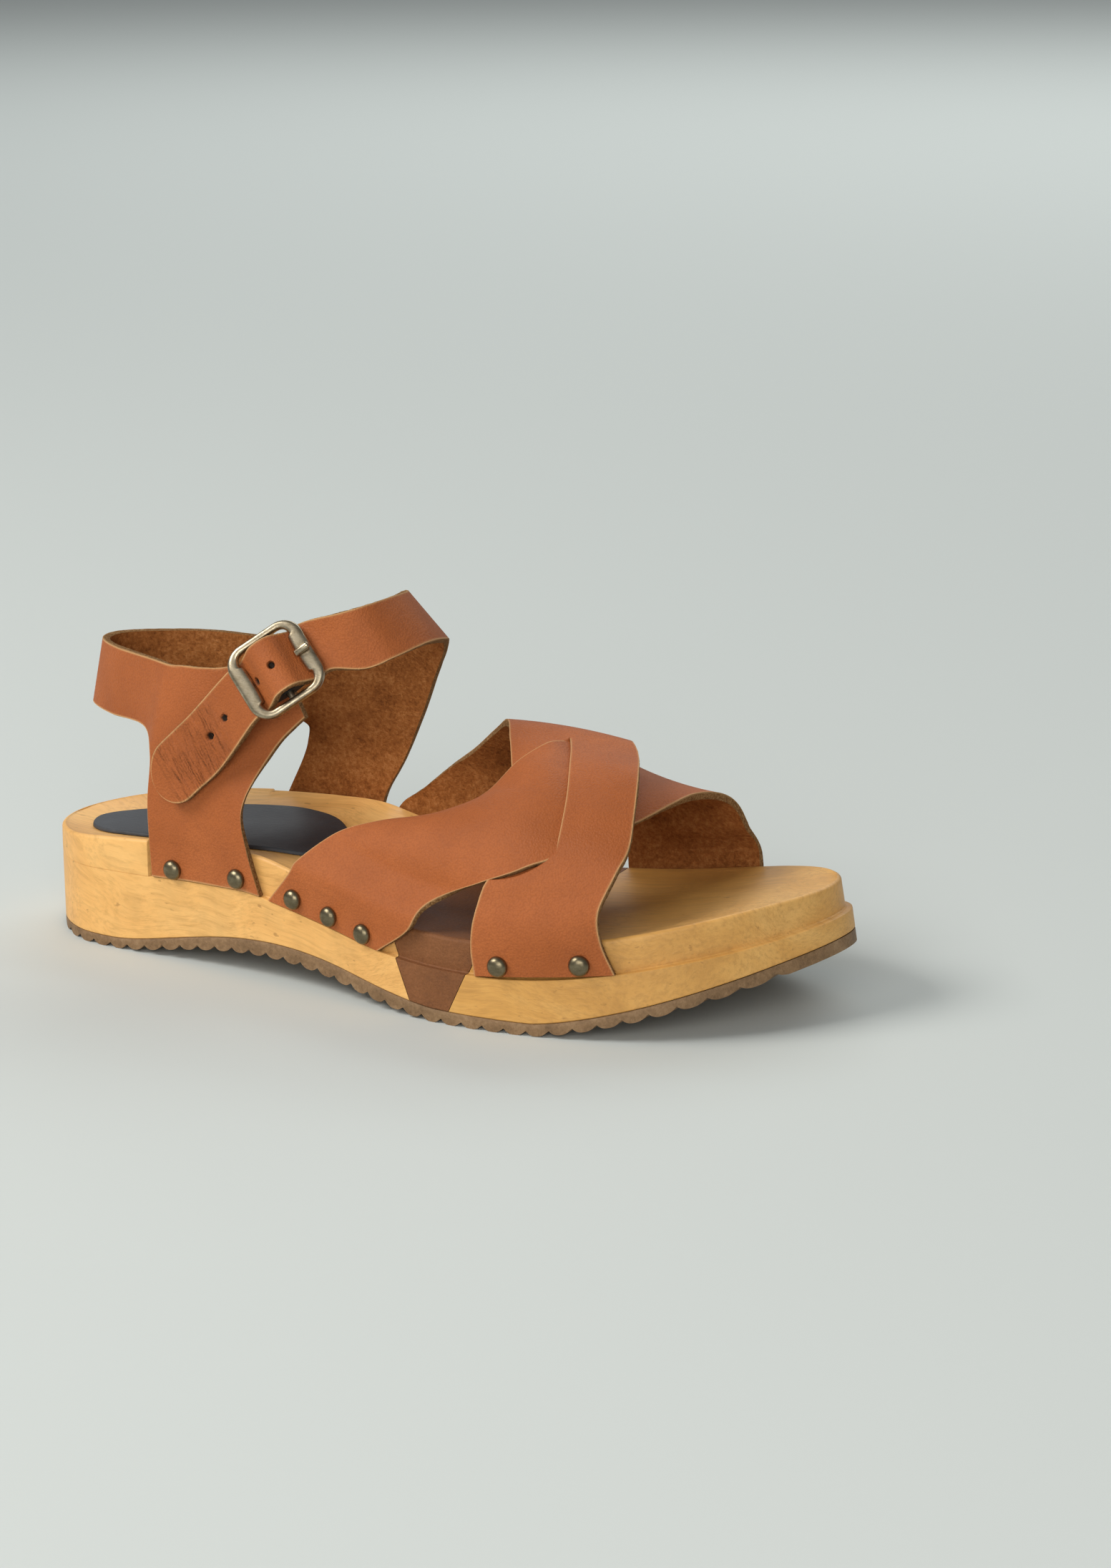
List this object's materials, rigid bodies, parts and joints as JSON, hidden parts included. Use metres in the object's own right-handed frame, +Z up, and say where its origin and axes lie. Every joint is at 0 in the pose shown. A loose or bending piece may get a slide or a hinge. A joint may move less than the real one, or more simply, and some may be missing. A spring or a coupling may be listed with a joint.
{
  "type": "wooden sole sandal",
  "caption": "Right wooden-soled sandal: crossed leather front straps, heel upper with a buckled ankle strap, dome tacks, ribbed rubber outsole.",
  "frame": {"origin": "on the floor, in the middle of the flat outsole rib under the heel seat, on the sole's middle line", "axes": "+X to the toe along the sole, +Y to the inner (medial) side of the foot, +Z up"},
  "size_m": [0.256, 0.0999, 0.1101],
  "materials": {
    "outsole": "matt moulded rubber",
    "wood": "oiled pale wood",
    "insert": "matt brown rubber",
    "pad": "matt sheet",
    "leather": "pebbled tan grain leather with a suede inside",
    "buckle": "antique silver",
    "keeper": "dark strip",
    "tack": "antique brass"
  },
  "bodies": {
    "root": {"outsole": "outsole", "sole_heel": "wood", "sole_toe": "wood", "flex_insert": "insert", "insole_pad": "pad", "front_straps": "leather", "heel_upper": "leather", "buckle_frame": "buckle", "buckle_prong": "buckle", "buckle_keeper": "keeper", "tack_01": "tack", "tack_02": "tack", "tack_03": "tack", "tack_04": "tack", "tack_05": "tack", "tack_06": "tack", "tack_07": "tack", "tack_08": "tack", "tack_09": "tack", "tack_10": "tack", "tack_11": "tack", "tack_12": "tack", "tack_13": "tack", "tack_14": "tack"}
  },
  "joints": []
}
